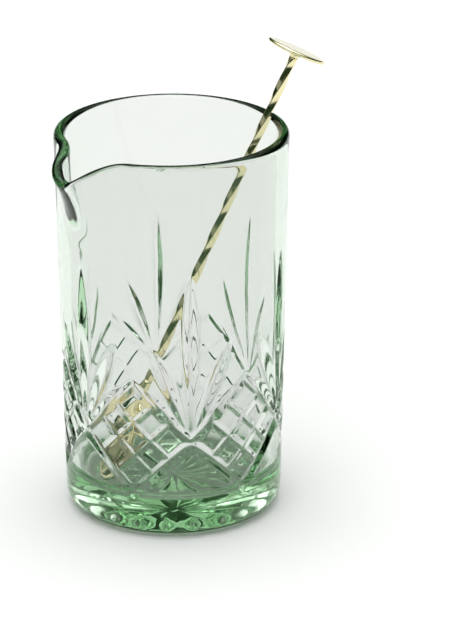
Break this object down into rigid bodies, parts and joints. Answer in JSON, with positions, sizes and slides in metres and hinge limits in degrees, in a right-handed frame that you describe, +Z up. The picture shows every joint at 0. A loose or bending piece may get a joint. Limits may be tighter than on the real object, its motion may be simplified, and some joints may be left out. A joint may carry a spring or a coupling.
{
  "type": "mixing glass",
  "caption": "Cut-pattern mixing glass with a pouring lip and thick base, with a twisted bar spoon that stands in it and lifts out.",
  "frame": {"origin": "centre of the glass's underside, on the plane of the flat ring that it stands on", "axes": "+Z up along the glass's axis, -X towards the pouring lip"},
  "size_m": [0.1108, 0.0886, 0.1801],
  "materials": {
    "green_glass": "clear pressed glass, pale green",
    "gold_metal": "polished pale gold plating"
  },
  "bodies": {
    "glass": {"mixing_glass": "green_glass"},
    "spoon": {"spoon_bowl": "gold_metal", "spoon_stem": "gold_metal", "spoon_disc": "gold_metal"}
  },
  "joints": [
    {"name": "spoon_lift", "type": "slide", "parent": "glass", "child": "spoon", "axis": [0, 0, 1], "range_m": [0, 0.15]}
  ]
}
